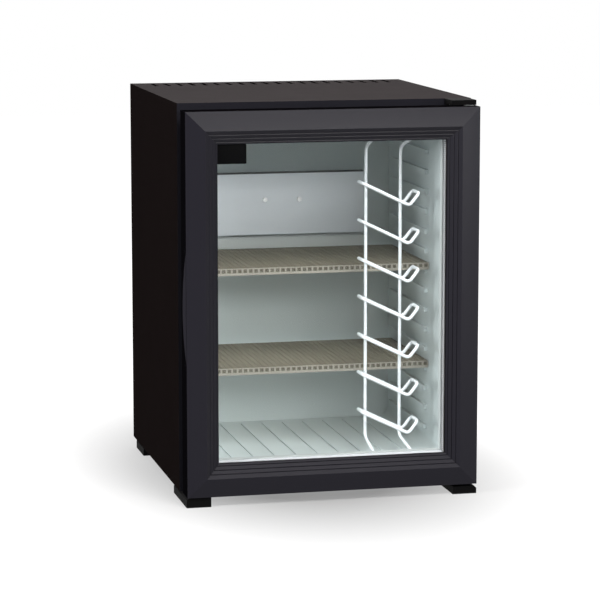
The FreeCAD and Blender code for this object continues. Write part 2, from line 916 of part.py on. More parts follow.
def cold_plate():
    face = liner_back - plate_gap
    y0 = face - plate_thick
    fold = face + plate_fold
    flat = box(-plate_half, plate_half, y0, face, plate_low, plate_high)
    upper = box(-plate_half, plate_half, y0, fold, plate_high - plate_thick, plate_high)
    lower = box(-plate_half, plate_half, y0, fold, plate_low, plate_low + plate_thick)
    save("evaporator_plate", cut_all(fuse_all([flat, upper, lower]), holes(cold_screw_seats())))
    groove = pipe_bore(evaporator_height, pipe, -plate_half, plate_half)
    save("evaporator_block", cut_all(block_window(0), [groove] + holes(cold_screw_seats())))
    save_group("evaporator_screws", screws(cold_screw_seats()))
    left = plate_half - sensor_inset - sensor_width / 2
    front = liner_back - sensor_depth
    sensor = box(left, left + sensor_width, front, liner_back, block_high - sensor_height, block_high)
    front_edges = [edge for edge in sensor.Edges if abs(edge.CenterOfMass.y - front) < slip]
    save("temperature_sensor", sensor.makeChamfer(sensor_chamfer, front_edges))


def gutter():
    half = plate_half + gutter_overhang
    y0 = liner_back - gutter_depth
    tray = box(-half, half, y0, liner_back, gutter_low, gutter_low + gutter_height)
    room = box(-half + gutter_wall, half - gutter_wall, y0 + gutter_wall, liner_back - gutter_wall,
               gutter_low + gutter_wall, gutter_low + gutter_height + overrun)
    save("drip_gutter", tray.cut(room).cut(drain_hole()))
    start, corner, end = drain_path()
    tube = pipe_run([start, corner, end], drain_bend, drain_radius)
    through = [start - Vec(0, overrun, 0), corner, end - Vec(0, 0, overrun)]
    save("drain_tube", tube.cut(pipe_run(through, drain_bend, drain_bore)))


def boiler():
    base = Vec(boiler_place, unit_y, boiler_low)
    tall = boiler_high - boiler_low
    profile = [(0, boiler_radius), (tall - boiler_cone, boiler_radius), (tall, boiler_neck)]
    save("boiler_casing", turned(base, Vec(0, 0, 1), profile))
    heater = base + Vec(heater_offset, 0, 0)
    ends = [heater - Vec(0, 0, heater_length), heater]
    save("heater_cartridge", mitred_rod(ends, heater_radius, pipe_sides))
    rise = [Vec(boiler_place, unit_y, boiler_high), Vec(boiler_place, unit_y, condenser_height),
            Vec(condenser_start, unit_y, condenser_height)]
    save("vapour_pipe", pipe_run(rise, pipe_bend, pipe))


# Clearance hole for a level pipe, with the pipe's own flat sides
def pipe_bore(level, radius, left, right):
    return level_rod(left, right, unit_y, level, radius + fit, pipe_sides)


def condenser():
    run = [Vec(condenser_start, unit_y, condenser_height), Vec(condenser_end, unit_y, condenser_height),
           Vec(condenser_end, unit_y, evaporator_joint)]
    save("condenser_pipe", pipe_run(run, pipe_bend, pipe))
    bore = pipe_bore(condenser_height, pipe, condenser_end, condenser_start)
    fins = []
    first = condenser_brackets_at[0] + fin_margin
    for k in range(count_in(condenser_brackets_at[1] - fin_margin - first, fin_pitch)):
        x = first + k * fin_pitch
        fin = box(x, x + fin_thick, unit_y - fin_width / 2, unit_y + fin_width / 2,
                  condenser_height - fin_height / 2, condenser_height + fin_height / 2)
        fins.append(fin.cut(bore))
    save_group("condenser_fins", fins)


def absorber():
    down = [Vec(condenser_end, unit_y, evaporator_joint), Vec(condenser_end, unit_y, evaporator_height),
            Vec(absorber_right, unit_y, evaporator_height), Vec(absorber_right, unit_y, absorber_joint)]
    save("evaporator_pipe", pipe_run(down, pipe_bend, pipe))
    coil = [Vec(absorber_right, unit_y, absorber_joint)]
    for k in range(absorber_passes):
        level = pass_high - k * absorber_pitch
        ends = (absorber_right, condenser_end) if k % 2 == 0 else (condenser_end, absorber_right)
        coil += [Vec(x, unit_y, level) for x in ends]
    coil[-1] = Vec(absorber_drop, unit_y, absorber_low)
    coil.append(Vec(absorber_drop, unit_y, vessel_height))
    vessel = absorber_vessel()
    save("absorber_coil", pipe_run(coil, absorber_pitch / 2, absorber_pipe).cut(vessel))
    save("absorber_vessel", vessel)
    inlet = boiler_place - heater_offset
    back = [Vec(return_place, unit_y, vessel_height), Vec(return_place, unit_y, return_height),
            Vec(inlet, unit_y, return_height), Vec(inlet, unit_y, boiler_low)]
    save("return_pipe", pipe_run(back, return_bend, return_radius).cut(vessel))


def absorber_vessel():
    length = vessel_right - vessel_left
    end = vessel_radius - vessel_dome
    profile = [(0, end), (vessel_dome, vessel_radius), (length - vessel_dome, vessel_radius), (length, end)]
    return turned(Vec(vessel_left, unit_y, vessel_height), Vec(1, 0, 0), profile)


# Angle bracket standing off the back plate, with holes for the pipes that it carries
def bracket(x, low, high, reach, bores):
    left = x - bracket_thick / 2
    right = x + bracket_thick / 2
    web = box(left, right, recess_front, unit_y + reach, low, high)
    flange = box(left, right + bracket_flange, recess_front, recess_front + bracket_thick, low, high)
    cutters = []
    for level, radius in bores:
        cutters.append(pipe_bore(level, radius, x - overrun, x + overrun))
    return cut_all(fuse_all([web, flange]), cutters + holes(unit_screw_seats()))


def vessel_bore():
    return level_rod(vessel_left, vessel_right, unit_y, vessel_height, vessel_radius + fit, drum_sides)


def unit_brackets():
    reach = pipe + bracket_margin
    uppers = []
    for x in condenser_brackets_at:
        bores = [(condenser_height, pipe), (evaporator_height, pipe)]
        uppers.append(bracket(x, evaporator_height - reach, condenser_height + reach, reach, bores))
    save_group("condenser_brackets", uppers)
    lowers = []
    for x in absorber_brackets_at:
        bores = [(absorber_low + k * absorber_pitch, absorber_pipe) for k in range(absorber_passes)]
        tall = absorber_pipe + bracket_margin
        web = bracket(x, vessel_height, pass_high + tall, vessel_radius + bracket_margin / 2, bores)
        lowers.append(web.cut(vessel_bore()))
    save_group("absorber_brackets", lowers)
    outer = boiler_radius + strap_thick
    z0 = strap_level - strap_height / 2
    z1 = strap_level + strap_height / 2
    base = Vec(boiler_place, unit_y, z0)
    up = Vec(0, 0, 1)
    band = turned(base, up, [(0, outer), (strap_height, outer)])
    wings = box(boiler_place - outer, boiler_place + outer, recess_front, unit_y, z0, z1)
    tabs = box(boiler_place - outer - strap_tab, boiler_place + outer + strap_tab, recess_front,
               recess_front + strap_thick, z0, z1)
    inside = boiler_radius + fit
    core = turned(base, up, [(-overrun, inside), (strap_height + overrun, inside)])
    slot = box(boiler_place - inside, boiler_place + inside, recess_front - overrun, unit_y,
               z0 - overrun, z1 + overrun)
    strap = band.fuse([wings, tabs]).cut(core).cut(slot).removeSplitter()
    save("boiler_strap", cut_all(strap, holes(unit_screw_seats())))
    save_group("unit_screws", screws(unit_screw_seats()))


def control_unit():
    right = control_left + control_width
    low = case_bottom + sheet
    y1 = recess_front + control_depth
    tub = box(control_left, right, recess_front, y1, low, low + control_height)
    room = box(control_left + control_wall, right - control_wall, recess_front + control_wall, y1 + overrun,
               low + control_wall, low + control_height - control_wall)
    level = low + control_height / 2
    gland_y = recess_front + control_depth / 2
    neck_radius = gland_radius - control_wall
    hole = level_rod(right - overrun, right + overrun, gland_y, level, neck_radius, pipe_sides)
    save("control_box", tub.cut(room).cut(hole))
    lid = box(control_left, right, y1, y1 + control_lid, low, low + control_height)
    lip = box(control_left + control_wall + slip, right - control_wall - slip, y1 - control_lid, y1,
              low + control_wall + slip, low + control_height - control_wall - slip)
    save("control_box_lid", fuse_all([lid, lip]))
    inside = right - control_wall
    barrel = level_rod(right, right + gland_length, gland_y, level, gland_radius, pipe_sides)
    neck = level_rod(inside, right, gland_y, level, neck_radius - fit, pipe_sides)
    nut = level_rod(right, right + gland_nut_length, gland_y, level, gland_nut, head_sides)
    bore = level_rod(inside - overrun, right + gland_length + overrun, gland_y, level, gland_bore, pipe_sides)
    save("cable_gland", fuse_all([barrel, neck, nut]).cut(bore))


def main():
    save("outer_case", outer_case())
    save("base_pan", base_pan())
    save("back_plate", back_plate())
    save("inner_liner", inner_liner())
    save("insulation_foam", insulation_foam())
    feet()
    top_hinge()
    bottom_hinge()
    save_group("hinge_screws", screws(leg_screw_seats()))
    cold_plate()
    gutter()
    boiler()
    condenser()
    absorber()
    unit_brackets()
    control_unit()
    save("lower_shelf", shelf(shelf_ribs[0]))
    save("upper_shelf", shelf(shelf_ribs[1]))
    door_frame()
    corner_keys()
    glass_unit()
    inner_door_frame()
    door_gasket()
    door_pull()
    save("top_hinge_bush", bush(door_high, hinge_lift / 2, -1))
    save("bottom_hinge_bush", bush(door_low, bush_flange_height, 1))
    bottle_rack()


main()
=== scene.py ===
import json
import math

import bpy
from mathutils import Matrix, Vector

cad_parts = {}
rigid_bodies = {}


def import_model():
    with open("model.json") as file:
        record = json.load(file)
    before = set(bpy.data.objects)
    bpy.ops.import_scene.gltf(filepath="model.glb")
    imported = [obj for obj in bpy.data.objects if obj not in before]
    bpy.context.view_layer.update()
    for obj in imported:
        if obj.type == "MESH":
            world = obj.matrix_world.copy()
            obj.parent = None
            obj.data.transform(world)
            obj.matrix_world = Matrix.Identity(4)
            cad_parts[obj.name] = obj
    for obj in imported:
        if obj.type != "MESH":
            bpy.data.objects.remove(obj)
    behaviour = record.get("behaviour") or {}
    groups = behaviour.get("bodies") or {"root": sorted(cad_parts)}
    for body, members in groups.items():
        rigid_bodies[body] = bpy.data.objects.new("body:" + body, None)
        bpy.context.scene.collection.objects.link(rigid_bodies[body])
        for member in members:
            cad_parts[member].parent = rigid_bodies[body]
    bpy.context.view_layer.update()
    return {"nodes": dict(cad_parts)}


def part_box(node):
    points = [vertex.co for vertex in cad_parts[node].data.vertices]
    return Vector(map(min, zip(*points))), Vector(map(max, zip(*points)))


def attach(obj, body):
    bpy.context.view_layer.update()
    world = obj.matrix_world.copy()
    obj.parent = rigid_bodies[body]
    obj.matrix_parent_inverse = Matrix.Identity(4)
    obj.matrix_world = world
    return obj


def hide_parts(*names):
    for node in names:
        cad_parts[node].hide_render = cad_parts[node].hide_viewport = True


# Start from an empty scene
for leftover in list(bpy.data.objects):
    bpy.data.objects.remove(leftover)

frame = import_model()
nodes = frame["nodes"]
print("frame loaded:", len(nodes), "nodes")


def addNode(tree, kind, settings=(), values=()):
    node = tree.nodes.new(kind)
    for key, value in dict(settings).items():
        setattr(node, key, value)
    for key, value in dict(values).items():
        node.inputs[key].default_value = value
    return node


def feed(tree, socket, value):
    if isinstance(value, bpy.types.NodeSocket):
        tree.links.new(value, socket)
    else:
        socket.default_value = value


def calc(tree, operation, first, second=0.0):
    node = addNode(tree, "ShaderNodeMath", {"operation": operation})
    feed(tree, node.inputs[0], first)
    feed(tree, node.inputs[1], second)
    return node.outputs[0]


# A Mix node takes its two colors at inputs 6 and 7 and gives the blend at output 2
def blendColor(tree, factor, first, second):
    node = addNode(tree, "ShaderNodeMix", {"data_type": "RGBA"})
    feed(tree, node.inputs[0], factor)
    feed(tree, node.inputs[6], first)
    feed(tree, node.inputs[7], second)
    return node.outputs[2]


def startGroup(name, inputs, outputs):
    group = bpy.data.node_groups.new(name, "ShaderNodeTree")
    for label, kind in inputs:
        group.interface.new_socket(name=label, in_out="INPUT", socket_type="NodeSocket" + kind)
    for label, kind in outputs:
        group.interface.new_socket(name=label, in_out="OUTPUT", socket_type="NodeSocket" + kind)
    given = group.nodes.new("NodeGroupInput").outputs
    result = group.nodes.new("NodeGroupOutput").inputs
    return group, given, result


def useGroup(tree, group, values):
    node = addNode(tree, "ShaderNodeGroup", {"node_tree": group})
    for label, value in values.items():
        feed(tree, node.inputs[label], value)
    return node.outputs


def opaque(color):
    return (color[0], color[1], color[2], 1.0)


# Fine texture of a coated or moulded skin: bumps, patchy roughness and a broad mottle
evenStretch = (1.0, 1.0, 1.0)
grainForm = {"broadShare": 0.025, "middle": 0.5}
grain, given, result = startGroup(
    "surfaceGrain",
    [("Stretch", "Vector"), ("Scale", "Float"), ("Depth", "Float"), ("Rough", "Float"),
     ("Spread", "Float")],
    [("Normal", "Vector"), ("Roughness", "Float"), ("Mottle", "Float")])
place = addNode(grain, "ShaderNodeTexCoord").outputs["Object"]
stretched = addNode(grain, "ShaderNodeMapping")
feed(grain, stretched.inputs["Vector"], place)
feed(grain, stretched.inputs["Scale"], given["Stretch"])
fine = addNode(grain, "ShaderNodeTexNoise", values={"Detail": 3.0, "Roughness": 0.6})
feed(grain, fine.inputs["Vector"], stretched.outputs[0])
feed(grain, fine.inputs["Scale"], given["Scale"])
broad = addNode(grain, "ShaderNodeTexNoise", values={"Detail": 5.0, "Roughness": 0.55})
feed(grain, broad.inputs["Vector"], stretched.outputs[0])
feed(grain, broad.inputs["Scale"], calc(grain, "MULTIPLY", given["Scale"], grainForm["broadShare"]))
bumps = addNode(grain, "ShaderNodeBump", values={"Distance": 0.001})
feed(grain, bumps.inputs["Strength"], given["Depth"])
feed(grain, bumps.inputs["Height"], fine.outputs[0])
patch = calc(grain, "SUBTRACT", broad.outputs[0], grainForm["middle"])
uneven = calc(grain, "MULTIPLY", patch, given["Spread"])
feed(grain, result["Normal"], bumps.outputs[0])
feed(grain, result["Roughness"], calc(grain, "ADD", given["Rough"], uneven))
feed(grain, result["Mottle"], broad.outputs[0])

# Paler tone along edges, partly wear where handling polishes a finish and partly a painted edge highlight
edgeGain = 4.0  # how soon the tone sets in as the edge turns
edgeTone, given, result = startGroup(
    "edgeTone",
    [("Color", "Color"), ("Edge Color", "Color"), ("Amount", "Float"), ("Radius", "Float")],
    [("Color", "Color")])
rounded = addNode(edgeTone, "ShaderNodeBevel", {"samples": 4})
feed(edgeTone, rounded.inputs["Radius"], given["Radius"])
flat = addNode(edgeTone, "ShaderNodeNewGeometry").outputs["Normal"]
agree = addNode(edgeTone, "ShaderNodeVectorMath", {"operation": "DOT_PRODUCT"})
feed(edgeTone, agree.inputs[0], rounded.outputs[0])
feed(edgeTone, agree.inputs[1], flat)
turned = calc(edgeTone, "MULTIPLY", calc(edgeTone, "SUBTRACT", 1.0, agree.outputs["Value"]), edgeGain)
edgePatches = addNode(edgeTone, "ShaderNodeTexNoise", values={"Scale": 60.0, "Detail": 4.0})
feed(edgeTone, edgePatches.inputs["Vector"], addNode(edgeTone, "ShaderNodeTexCoord").outputs["Object"])
wornAndHighlit = calc(edgeTone, "MULTIPLY", calc(edgeTone, "MULTIPLY", turned, edgePatches.outputs[0]), given["Amount"])
feed(edgeTone, result["Color"], blendColor(edgeTone, wornAndHighlit, given["Color"], given["Edge Color"]))

# Thin dust that settles on faces that look up
dustColor = (0.42, 0.4, 0.38)
dustFilm, given, result = startGroup(
    "dustFilm",
    [("Color", "Color"), ("Dust Color", "Color"), ("Amount", "Float")],
    [("Color", "Color")])
upward = addNode(dustFilm, "ShaderNodeSeparateXYZ")
feed(dustFilm, upward.inputs[0], addNode(dustFilm, "ShaderNodeTexCoord").outputs["Normal"])
level = calc(dustFilm, "MAXIMUM", upward.outputs["Z"], 0.0)
specks = addNode(dustFilm, "ShaderNodeTexNoise", values={"Scale": 240.0, "Detail": 6.0, "Roughness": 0.7})
feed(dustFilm, specks.inputs["Vector"], addNode(dustFilm, "ShaderNodeTexCoord").outputs["Object"])
settled = calc(dustFilm, "MULTIPLY", calc(dustFilm, "MULTIPLY", level, specks.outputs[0]), given["Amount"])
feed(dustFilm, result["Color"], blendColor(dustFilm, settled, given["Color"], given["Dust Color"]))

# Row of small holes along the bars of a rectangular spacer
holeDraw = 0.15  # share of the depth that counts, which draws each hole out into a slot
perforation, given, result = startGroup(
    "perforation",
    [("Pitch", "Float"), ("Radius", "Float"), ("Side", "Float"), ("Depth", "Float")],
    [("Mask", "Float")])
spot = addNode(perforation, "ShaderNodeSeparateXYZ")
feed(perforation, spot.inputs[0], addNode(perforation, "ShaderNodeTexCoord").outputs["Object"])
onSide = calc(perforation, "GREATER_THAN", calc(perforation, "ABSOLUTE", spot.outputs["X"]), given["Side"])
upRun = calc(perforation, "MULTIPLY", spot.outputs["Z"], onSide)
acrossRun = calc(perforation, "MULTIPLY", spot.outputs["X"], calc(perforation, "SUBTRACT", 1.0, onSide))
run = calc(perforation, "ADD", upRun, acrossRun)
step = calc(perforation, "PINGPONG", run, calc(perforation, "MULTIPLY", given["Pitch"], 0.5))
inward = calc(perforation, "SUBTRACT", spot.outputs["Y"], given["Depth"])
aside = calc(perforation, "MULTIPLY", inward, holeDraw)
away = calc(perforation, "SQRT", calc(perforation, "ADD", calc(perforation, "MULTIPLY", step, step),
                                      calc(perforation, "MULTIPLY", aside, aside)))
feed(perforation, result["Mask"], calc(perforation, "LESS_THAN", away, given["Radius"]))

# Faces that look along an axis of the piece
facingLimit = 0.45  # cosine past which a face counts as looking that way
facing, given, result = startGroup("facing", [("Axis", "Vector")], [("Mask", "Float")])
along = addNode(facing, "ShaderNodeVectorMath", {"operation": "DOT_PRODUCT"})
feed(facing, along.inputs[0], addNode(facing, "ShaderNodeTexCoord").outputs["Normal"])
feed(facing, along.inputs[1], given["Axis"])
feed(facing, result["Mask"], calc(facing, "GREATER_THAN", along.outputs["Value"], facingLimit))

# Faint wiping marks on glass
smudgeFade = 3.0  # higher leaves only the strongest marks
smudges, given, result = startGroup("smudges", [("Scale", "Float")], [("Mask", "Float")])
wiped = addNode(smudges, "ShaderNodeTexNoise", values={"Detail": 6.0, "Roughness": 0.65, "Distortion": 1.2})
feed(smudges, wiped.inputs["Vector"], addNode(smudges, "ShaderNodeTexCoord").outputs["Object"])
feed(smudges, wiped.inputs["Scale"], given["Scale"])
feed(smudges, result["Mask"], calc(smudges, "POWER", wiped.outputs[0], smudgeFade))
print("shared shader groups made")


def newMaterial(name):
    material = bpy.data.materials.new(name)
    material.use_nodes = True
    return material, material.node_tree, material.node_tree.nodes["Principled BSDF"]


# Opaque finish with grain, mottle, paler edges that are partly wear and partly a painted edge highlight, and
# dust; faces that look along an axis take other values, and where their colour differs it is painted light
def finished(name, spec):
    material, tree, shader = newMaterial(name)
    skin = useGroup(tree, grain, {
        "Stretch": spec.get("stretch", evenStretch), "Scale": spec["scale"], "Depth": spec["depth"],
        "Rough": spec["rough"], "Spread": spec["spread"]})
    base = opaque(spec["color"])
    deeper = opaque([channel * spec.get("deep", 0.8) for channel in spec["color"]])
    color = blendColor(tree, skin["Mottle"], base, deeper)
    roughness = skin["Roughness"]
    if "above" in spec:
        edge, tint = spec["above"]
        height = addNode(tree, "ShaderNodeSeparateXYZ")
        feed(tree, height.inputs[0], addNode(tree, "ShaderNodeTexCoord").outputs["Object"])
        color = blendColor(tree, calc(tree, "GREATER_THAN", height.outputs["Z"], edge), color, opaque(tint))
    for face in spec.get("faces", ()):
        turned = useGroup(tree, facing, {"Axis": face["axis"]})["Mask"]
        color = blendColor(tree, turned, color, opaque(face["color"]))
        change = face["rough"] - spec["rough"]
        roughness = calc(tree, "ADD", roughness, calc(tree, "MULTIPLY", turned, change))
    color = useGroup(tree, edgeTone, {
        "Color": color, "Edge Color": opaque(spec["edge"]), "Amount": spec["edgeWearAndHighlight"],
        "Radius": spec["radius"]})["Color"]
    color = useGroup(tree, dustFilm, {
        "Color": color, "Dust Color": opaque(dustColor), "Amount": spec["dust"]})["Color"]
    feed(tree, shader.inputs["Base Color"], color)
    feed(tree, shader.inputs["Roughness"], roughness)
    feed(tree, shader.inputs["Normal"], skin["Normal"])
    shader.inputs["Metallic"].default_value = spec.get("metal", 0.0)
    shader.inputs["Specular IOR Level"].default_value = spec.get("shine", 0.5)
    if "glossAxis" in spec:  # only faces that look along this axis keep their gloss
        flat = addNode(tree, "ShaderNodeBsdfDiffuse")
        feed(tree, flat.inputs["Color"], color)
        ahead = addNode(tree, "ShaderNodeVectorMath", {"operation": "DOT_PRODUCT"}, {1: spec["glossAxis"]})
        feed(tree, ahead.inputs[0], addNode(tree, "ShaderNodeTexCoord").outputs["Normal"])
        sides = addNode(tree, "ShaderNodeMixShader")
        feed(tree, sides.inputs[0], calc(tree, "GREATER_THAN", ahead.outputs["Value"], facingLimit))
        feed(tree, sides.inputs[1], flat.outputs[0])
        feed(tree, sides.inputs[2], shader.outputs[0])
        feed(tree, tree.nodes["Material Output"].inputs["Surface"], sides.outputs[0])
    return material


def dress(material, names):
    for name in names:
        nodes[name].data.materials.clear()
        nodes[name].data.materials.append(material)


# The case's upward faces are painted lighter, a painted sheen of the overhead light, and its forward faces
# lighter and bluer, painted light on the same paint
casePaint = {"color": (0.0040, 0.0024, 0.0023), "rough": 0.92, "spread": 0.06, "scale": 900.0, "depth": 0.05,
             "edge": (0.02, 0.017, 0.017), "edgeWearAndHighlight": 0.25, "radius": 0.0008, "dust": 0.025, "shine": 0.004,
             "faces": [{"axis": (0.0, 0.0, 1.0), "color": (0.0125, 0.0085, 0.0095), "rough": 0.65},
                       {"axis": (0.0, -1.0, 0.0), "color": (0.011, 0.0108, 0.014), "rough": 0.8}]}
dress(finished("casePaint", casePaint), ["outer_case"])

# The frame's forward faces are painted lighter and bluer than its other faces: painted light on one paint
# The two changes of roughness add up to 0.55 on the lower bevels, which look up and forward
frameCoat = {"color": (0.0026, 0.0024, 0.003), "rough": 0.9, "spread": 0.04, "scale": 1300.0, "depth": 0.02,
             "edge": (0.03, 0.028, 0.036), "edgeWearAndHighlight": 0.25, "radius": 0.0005, "dust": 0.0, "shine": 0.14,
             "glossAxis": (0.0, -1.0, 0.0),
             "faces": [{"axis": (0.0, 0.0, 1.0), "color": (0.0026, 0.0024, 0.003), "rough": 1.11},
                       {"axis": (0.0, -1.0, 0.0), "color": (0.0058, 0.0052, 0.0088), "rough": 0.34}]}
frameMaterial = finished("frameCoat", frameCoat)
dress(frameMaterial,
      ["door_frame_top", "door_frame_bottom", "door_frame_left", "door_frame_right", "door_pull"])

linerSkin = {"color": (0.68, 0.735, 0.745), "rough": 0.34, "spread": 0.12, "scale": 420.0, "depth": 0.02,
             "deep": 0.93, "edge": (0.8, 0.82, 0.82), "edgeWearAndHighlight": 0.3, "radius": 0.0008, "dust": 0.0, "shine": 0.12}
dress(finished("linerSkin", linerSkin), ["inner_liner"])

blackMoulding = {"color": (0.0026, 0.0025, 0.0026), "rough": 0.8, "spread": 0.1, "scale": 1100.0, "depth": 0.06,
                 "edge": (0.012, 0.012, 0.0125), "edgeWearAndHighlight": 0.3, "radius": 0.0006, "dust": 0.0, "shine": 0.04}
dress(finished("blackMoulding", blackMoulding),
      ["front_foot_left", "front_foot_right", "rear_feet", "top_hinge_cover", "control_box", "control_box_lid",
       "cable_gland"])

innerMoulding = {"color": (0.60, 0.62, 0.63), "rough": 0.45, "spread": 0.12, "scale": 900.0, "depth": 0.03,
                 "deep": 0.92, "edge": (0.74, 0.75, 0.76), "edgeWearAndHighlight": 0.3, "radius": 0.0005, "dust": 0.0,
                 "shine": 0.2}
dress(finished("innerMoulding", innerMoulding), ["inner_door_frame"])

softSeal = {"color": (0.008, 0.008, 0.008), "rough": 0.8, "spread": 0.1, "scale": 600.0, "depth": 0.1,
            "edge": (0.02, 0.02, 0.02), "edgeWearAndHighlight": 0.3, "radius": 0.0008, "dust": 0.0, "shine": 0.05}
dress(finished("softSeal", softSeal), ["door_gasket", "glazing_seal", "gasket_magnets"])

zincSheet = {"color": (0.46, 0.47, 0.48), "rough": 0.38, "spread": 0.25, "scale": 160.0, "depth": 0.03,
             "deep": 0.7, "edge": (0.62, 0.63, 0.64), "edgeWearAndHighlight": 0.4, "radius": 0.0006, "dust": 0.06, "metal": 0.9}
dress(finished("zincSheet", zincSheet),
      ["base_pan", "back_plate", "condenser_brackets", "absorber_brackets", "boiler_strap"])

screwSteel = {"color": (0.5, 0.5, 0.5), "rough": 0.3, "spread": 0.2, "scale": 900.0, "depth": 0.03,
              "edge": (0.7, 0.7, 0.7), "edgeWearAndHighlight": 0.5, "radius": 0.0003, "dust": 0.02, "metal": 1.0}
dress(finished("screwSteel", screwSteel),
      ["foot_screws", "hinge_screws", "evaporator_screws", "unit_screws", "top_hinge_pin", "bottom_hinge_pin",
       "heater_cartridge"])

hingeCoat = {"color": (0.006, 0.006, 0.006), "rough": 0.7, "spread": 0.12, "scale": 900.0, "depth": 0.05,
             "edge": (0.04, 0.04, 0.04), "edgeWearAndHighlight": 0.4, "radius": 0.0004, "dust": 0.0, "shine": 0.06}
dress(finished("hingeCoat", hingeCoat), ["top_hinge_bracket", "bottom_hinge_bracket"])

coldMetal = {"color": (0.80, 0.82, 0.87), "rough": 0.5, "spread": 0.15, "scale": 340.0, "depth": 0.04,
             "deep": 0.85, "stretch": (0.03, 1.0, 1.0), "edge": (0.7, 0.7, 0.72), "edgeWearAndHighlight": 0.4, "radius": 0.0006,
             "dust": 0.0, "metal": 0.15, "shine": 0.2}
dress(finished("coldMetal", coldMetal), ["evaporator_block", "corner_keys"])
coldEdge = {"width": 0.0018, "color": (0.02, 0.022, 0.024)}  # dark line along the upper edge
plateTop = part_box("evaporator_plate")[1][2] - coldEdge["width"]
dress(finished("coldPlate", dict(coldMetal, above=(plateTop, coldEdge["color"]))), ["evaporator_plate"])

whiteMoulding = {"color": (0.72, 0.74, 0.74), "rough": 0.4, "spread": 0.12, "scale": 700.0, "depth": 0.03,
                 "deep": 0.92, "edge": (0.82, 0.83, 0.83), "edgeWearAndHighlight": 0.3, "radius": 0.0005, "dust": 0.0,
                 "shine": 0.2}
dress(finished("whiteMoulding", whiteMoulding),
      ["drip_gutter", "drain_tube", "temperature_sensor", "rack_clips", "top_hinge_bush", "bottom_hinge_bush"])

foamCore = {"color": (0.72, 0.62, 0.36), "rough": 0.85, "spread": 0.1, "scale": 500.0, "depth": 0.3,
            "edge": (0.8, 0.7, 0.45), "edgeWearAndHighlight": 0.2, "radius": 0.001, "dust": 0.0}
dress(finished("foamCore", foamCore), ["insulation_foam"])

unitPaint = {"color": (0.014, 0.014, 0.015), "rough": 0.46, "spread": 0.2, "scale": 700.0, "depth": 0.06,
             "edge": (0.07, 0.07, 0.07), "edgeWearAndHighlight": 0.4, "radius": 0.0008, "dust": 0.12}
unitMaterial = finished("unitPaint", unitPaint)
dress(unitMaterial, ["condenser_fins"])

boilerSteel = {"color": (0.42, 0.42, 0.41), "rough": 0.36, "spread": 0.25, "scale": 240.0, "depth": 0.04,
               "deep": 0.7, "stretch": (1.0, 1.0, 0.05), "edge": (0.6, 0.6, 0.6), "edgeWearAndHighlight": 0.4, "radius": 0.0008,
               "dust": 0.08, "metal": 0.95}
boilerMaterial = finished("boilerSteel", boilerSteel)
print("opaque finishes made")

# Panes: clear, weakly reflecting, with wiping marks; light and shadow pass straight through
glassLook = {"tint": (0.975, 0.985, 0.982), "haze": 0.012, "scale": 9.0, "ior": 1.15}
glass, tree, shader = newMaterial("paneGlass")
marks = useGroup(tree, smudges, {"Scale": glassLook["scale"]})["Mask"]
shader.inputs["Base Color"].default_value = opaque(glassLook["tint"])
shader.inputs["Transmission Weight"].default_value = 1.0
shader.inputs["IOR"].default_value = glassLook["ior"]
feed(tree, shader.inputs["Roughness"], calc(tree, "MULTIPLY", marks, glassLook["haze"]))
clear = addNode(tree, "ShaderNodeBsdfTransparent", values={"Color": opaque(glassLook["tint"])})
rays = addNode(tree, "ShaderNodeLightPath").outputs
pane = addNode(tree, "ShaderNodeMixShader")
feed(tree, pane.inputs[0], calc(tree, "MAXIMUM", rays["Is Shadow Ray"], rays["Is Diffuse Ray"]))
feed(tree, pane.inputs[1], shader.outputs[0])
feed(tree, pane.inputs[2], clear.outputs[0])
feed(tree, tree.nodes["Material Output"].inputs["Surface"], pane.outputs[0])
dress(glass, ["outer_glass", "inner_glass"])

# Spacer bar: dark, with the upward faces along the bottom painted pale as painted light, and a row of breathing
# holes that show the pale beads inside
spacerLook = {"color": (0.05, 0.045, 0.048), "paintedLitTop": (0.76, 0.78, 0.84), "hole": (0.66, 0.66, 0.68),
              "rough": 0.6, "spread": 0.15, "scale": 500.0, "bump": 0.03, "shine": 0.1,
              "pitch": 0.0027, "radius": 0.0008, "side": 0.1545, "depth": -0.1895}
spacerMaterial, tree, shader = newMaterial("spacerBar")
dots = useGroup(tree, perforation, {"Pitch": spacerLook["pitch"], "Radius": spacerLook["radius"],
                                    "Side": spacerLook["side"], "Depth": spacerLook["depth"]})["Mask"]
skin = useGroup(tree, grain, {"Stretch": evenStretch, "Scale": spacerLook["scale"], "Depth": spacerLook["bump"],
                              "Rough": spacerLook["rough"], "Spread": spacerLook["spread"]})
# Faces that look up are painted pale: painted light
upper = useGroup(tree, facing, {"Axis": (0.0, 0.0, 1.0)})["Mask"]
bar = blendColor(tree, upper, opaque(spacerLook["color"]), opaque(spacerLook["paintedLitTop"]))
feed(tree, shader.inputs["Base Color"], blendColor(tree, dots, bar, opaque(spacerLook["hole"])))
feed(tree, shader.inputs["Roughness"], skin["Roughness"])
feed(tree, shader.inputs["Normal"], skin["Normal"])
shader.inputs["Specular IOR Level"].default_value = spacerLook["shine"]
dress(spacerMaterial, ["glazing_spacer"])

plasticGrain = {"scale": 650.0, "depth": 0.04, "spread": 0.15}


